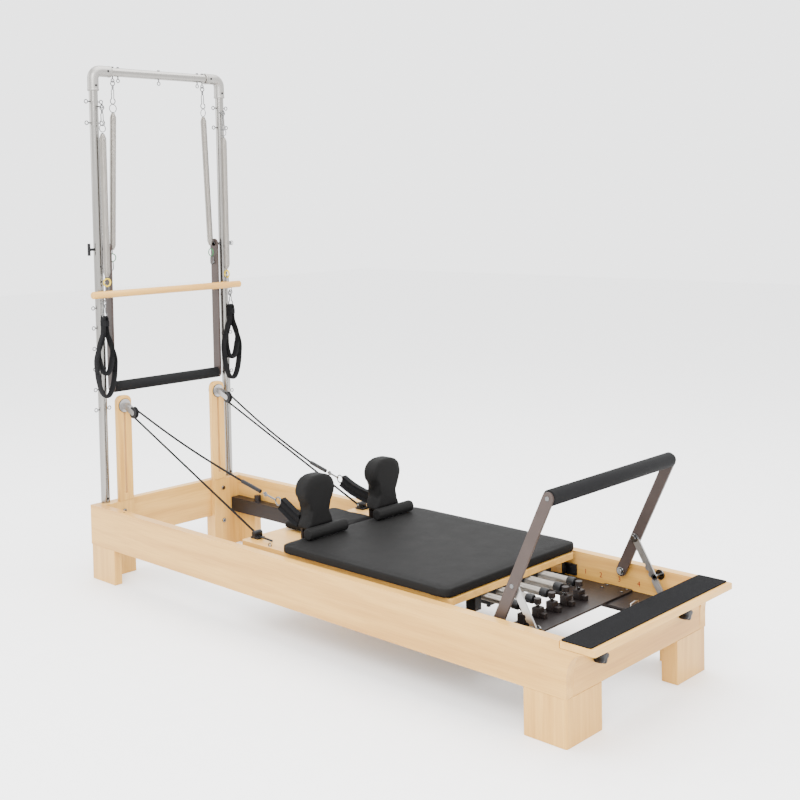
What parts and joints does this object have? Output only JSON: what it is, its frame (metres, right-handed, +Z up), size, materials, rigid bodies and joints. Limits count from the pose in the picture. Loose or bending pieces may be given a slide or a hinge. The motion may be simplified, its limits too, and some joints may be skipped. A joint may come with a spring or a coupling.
{
  "type": "pilates reformer",
  "caption": "Wooden pilates reformer with a sliding sprung carriage, footbar, cord risers and a tube tower with push-through and roll-down bars.",
  "frame": {"origin": "on the floor, under the middle of the box round the frame and platform", "axes": "+Z up, +X towards the foot end with the platform, the tower at -X, +Y to the left of a person who faces the foot end"},
  "size_m": [2.177, 0.673, 1.845],
  "materials": {
    "maple": "satin lacquer",
    "mat": "textured",
    "track_metal": "dark bronze anodised",
    "arm_metal": "taupe powder coat",
    "silver": "satin",
    "spring_steel": "bright coil",
    "upholstery": "vinyl with fine grain",
    "foam": "foam",
    "black_plastic": "moulded",
    "webbing": "woven"
  },
  "bodies": {
    "frame": {"side_rail_near": "maple", "side_rail_far": "maple", "head_panel": "maple", "foot_panel": "maple", "leg_head_near": "maple", "leg_head_far": "maple", "leg_foot_near": "maple", "leg_foot_far": "maple", "platform_board": "maple", "platform_mat": "mat", "track_near": "track_metal", "track_far": "track_metal", "riser_near": "maple", "riser_far": "maple", "tower_upright_near": "silver", "tower_upright_far": "silver", "tower_crossbar": "silver", "push_bar_spring_near": "spring_steel", "push_bar_spring_far": "spring_steel", "cord_near": "webbing", "cord_far": "webbing"},
    "carriage": {"carriage_board": "maple", "carriage_pad": "upholstery", "shoulder_pad_near": "upholstery", "shoulder_pad_far": "upholstery", "shoulder_post_near": "track_metal", "shoulder_post_far": "track_metal", "shoulder_roll_near": "upholstery", "shoulder_roll_far": "upholstery", "shoulder_strap_near": "webbing", "shoulder_strap_far": "webbing"},
    "headrest": {"headrest": "upholstery"},
    "spring_bar": {"spring_bar": "track_metal", "carriage_spring_1": "spring_steel", "carriage_spring_2": "spring_steel", "carriage_spring_3": "spring_steel", "carriage_spring_4": "spring_steel", "carriage_spring_5": "spring_steel"},
    "footbar": {"footbar_frame": "arm_metal", "footbar_grip": "foam"},
    "push_bar": {"push_bar_frame": "arm_metal", "push_bar_grip": "foam"},
    "push_bar_pin": {"push_bar_pin": "black_plastic"},
    "roll_down_springs": {"roll_down_spring_near": "spring_steel", "roll_down_spring_far": "spring_steel"},
    "roll_down_bar": {"roll_down_bar": "maple"},
    "wheel_front_near": {"wheel_front_near": "black_plastic"},
    "wheel_front_far": {"wheel_front_far": "black_plastic"},
    "wheel_rear_near": {"wheel_rear_near": "black_plastic"},
    "wheel_rear_far": {"wheel_rear_far": "black_plastic"},
    "footbar_strut_near": {"footbar_strut_near": "silver"},
    "pulley_block_near": {"pulley_block_near": "silver"},
    "pulley_wheel_near": {"pulley_wheel_near": "black_plastic"},
    "strap_handle_near": {"strap_handle_near": "webbing"},
    "platform_knob_near": {"platform_knob_near": "black_plastic"},
    "footbar_strut_far": {"footbar_strut_far": "silver"},
    "pulley_block_far": {"pulley_block_far": "silver"},
    "pulley_wheel_far": {"pulley_wheel_far": "black_plastic"},
    "strap_handle_far": {"strap_handle_far": "webbing"},
    "platform_knob_far": {"platform_knob_far": "black_plastic"}
  },
  "joints": [
    {"name": "carriage_slide", "type": "slide", "parent": "frame", "child": "carriage", "axis": [-1, 0, 0], "range_m": [0, 0.62], "stiffness_N_per_m": 600, "springref_m": -0.02, "deforming": ["carriage_spring_1", "carriage_spring_2", "carriage_spring_3", "carriage_spring_4", "carriage_spring_5", "cord_near", "cord_far"]},
    {"name": "wheel_front_near_turn", "type": "hinge", "parent": "carriage", "child": "wheel_front_near", "pos_m": [0.5335, -0.2865, 0.2093], "axis": [0, -1, 0], "range_deg": [0, 1640]},
    {"name": "wheel_front_far_turn", "type": "hinge", "parent": "carriage", "child": "wheel_front_far", "pos_m": [0.5335, 0.2865, 0.2093], "axis": [0, -1, 0], "range_deg": [0, 1640]},
    {"name": "wheel_rear_near_turn", "type": "hinge", "parent": "carriage", "child": "wheel_rear_near", "pos_m": [-0.2265, -0.2865, 0.2093], "axis": [0, -1, 0], "range_deg": [0, 1640]},
    {"name": "wheel_rear_far_turn", "type": "hinge", "parent": "carriage", "child": "wheel_rear_far", "pos_m": [-0.2265, 0.2865, 0.2093], "axis": [0, -1, 0], "range_deg": [0, 1640]},
    {"name": "headrest_tilt", "type": "hinge", "parent": "carriage", "child": "headrest", "pos_m": [-0.0915, 0, 0.3023], "axis": [0, 1, 0], "range_deg": [0, 30]},
    {"name": "spring_bar_slide", "type": "slide", "parent": "frame", "child": "spring_bar", "axis": [1, 0, 0], "range_m": [-0.124, 0.062], "deforming": ["carriage_spring_1", "carriage_spring_2", "carriage_spring_3", "carriage_spring_4", "carriage_spring_5"]},
    {"name": "footbar_lean", "type": "hinge", "parent": "frame", "child": "footbar", "pos_m": [0.7555, 0, 0.245], "axis": [0, 1, 0], "range_deg": [-20, 25]},
    {"name": "footbar_strut_near_turn", "type": "hinge", "parent": "footbar", "child": "footbar_strut_near", "pos_m": [0.80702, -0.283, 0.35448], "axis": [0, 1, 0], "range_deg": [-12, 10]},
    {"name": "footbar_strut_far_turn", "type": "hinge", "parent": "footbar", "child": "footbar_strut_far", "pos_m": [0.80702, 0.283, 0.35448], "axis": [0, 1, 0], "range_deg": [-12, 10]},
    {"name": "push_bar_swing", "type": "hinge", "parent": "frame", "child": "push_bar", "pos_m": [-1.0685, 0, 1.187], "axis": [0, 1, 0], "range_deg": [0, 75], "deforming": ["push_bar_spring_near", "push_bar_spring_far"]},
    {"name": "push_bar_pin_pull", "type": "slide", "parent": "frame", "child": "push_bar_pin", "axis": [0, -1, 0], "range_m": [0, 0.022]},
    {"name": "roll_down_swing", "type": "hinge", "parent": "frame", "child": "roll_down_springs", "pos_m": [-1.0335, 0, 1.639], "axis": [0, -1, 0], "range_deg": [0, 25]},
    {"name": "roll_down_pull", "type": "slide", "parent": "roll_down_springs", "child": "roll_down_bar", "axis": [0, 0, -1], "range_m": [0, 0.3], "stiffness_N_per_m": 300, "springref_m": -0.05, "deforming": ["roll_down_spring_near", "roll_down_spring_far"]},
    {"name": "strap_handle_near_swing", "type": "hinge", "parent": "roll_down_bar", "child": "strap_handle_near", "pos_m": [-1.0335, -0.2865, 1], "axis": [0, -1, 0], "range_deg": [0, 40]},
    {"name": "pulley_block_near_slide", "type": "slide", "parent": "frame", "child": "pulley_block_near", "axis": [0, 0, 1], "range_m": [-0.3, 0], "deforming": ["cord_near"]},
    {"name": "pulley_wheel_near_turn", "type": "hinge", "parent": "pulley_block_near", "child": "pulley_wheel_near", "pos_m": [-0.9747, -0.2135, 0.596], "axis": [0, 1, 0], "continuous": true},
    {"name": "platform_knob_near_turn", "type": "hinge", "parent": "frame", "child": "platform_knob_near", "pos_m": [1.0175, -0.205, 0.2], "axis": [1, 0, 0], "continuous": true},
    {"name": "strap_handle_far_swing", "type": "hinge", "parent": "roll_down_bar", "child": "strap_handle_far", "pos_m": [-1.0335, 0.2865, 1], "axis": [0, -1, 0], "range_deg": [0, 40]},
    {"name": "pulley_block_far_slide", "type": "slide", "parent": "frame", "child": "pulley_block_far", "axis": [0, 0, 1], "range_m": [-0.3, 0], "deforming": ["cord_far"]},
    {"name": "pulley_wheel_far_turn", "type": "hinge", "parent": "pulley_block_far", "child": "pulley_wheel_far", "pos_m": [-0.9747, 0.2135, 0.596], "axis": [0, 1, 0], "continuous": true},
    {"name": "platform_knob_far_turn", "type": "hinge", "parent": "frame", "child": "platform_knob_far", "pos_m": [1.0175, 0.205, 0.2], "axis": [1, 0, 0], "continuous": true}
  ],
  "couplings": [
    {"joint": "wheel_front_near_turn", "follows": "carriage_slide", "rad_per_m": 45.455},
    {"joint": "wheel_front_far_turn", "follows": "carriage_slide", "rad_per_m": 45.455},
    {"joint": "wheel_rear_near_turn", "follows": "carriage_slide", "rad_per_m": 45.455},
    {"joint": "wheel_rear_far_turn", "follows": "carriage_slide", "rad_per_m": 45.455},
    {"joint": "footbar_strut_near_turn", "follows": "footbar_lean", "ratio": -0.43},
    {"joint": "footbar_strut_far_turn", "follows": "footbar_lean", "ratio": -0.43}
  ]
}
